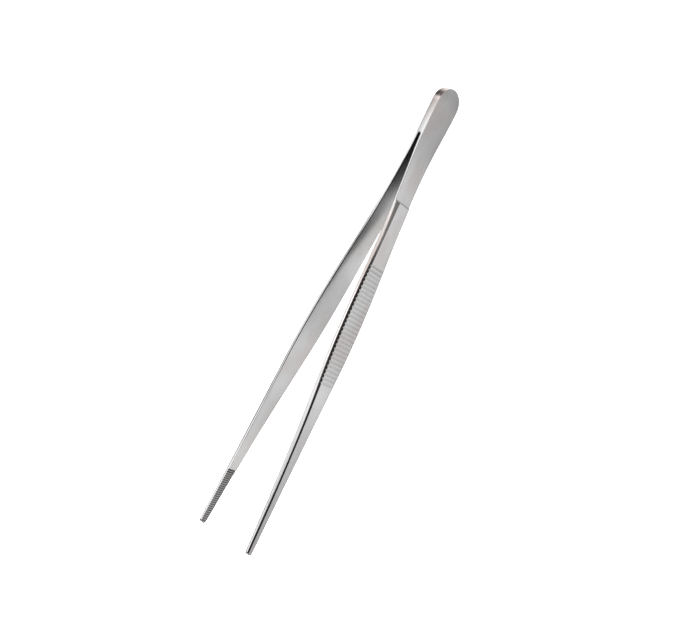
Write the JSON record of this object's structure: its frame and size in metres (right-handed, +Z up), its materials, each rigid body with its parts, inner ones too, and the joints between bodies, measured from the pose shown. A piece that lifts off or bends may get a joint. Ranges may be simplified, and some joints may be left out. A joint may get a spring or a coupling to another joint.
{
  "type": "thumb forceps",
  "caption": "Straight thumb forceps: two bowed spring-steel arms welded at a rounded head, with grooved grips and serrated narrow jaws.",
  "frame": {"origin": "centre of the underside of the bounding box: midway along the length, on the plane of the weld between the arms, at the height of the lowest side edge", "axes": "+X from the welded head towards the jaw tips, +Y from the left arm to the right arm, +Z up, across the width of the arms"},
  "size_m": [0.2, 0.0302, 0.0139],
  "materials": {
    "stainless_steel": "stainless steel, satin on the outer and inner faces, polished on the side edges and bevels"
  },
  "bodies": {
    "root": {"right_arm": "stainless_steel", "left_arm": "stainless_steel"}
  },
  "joints": []
}
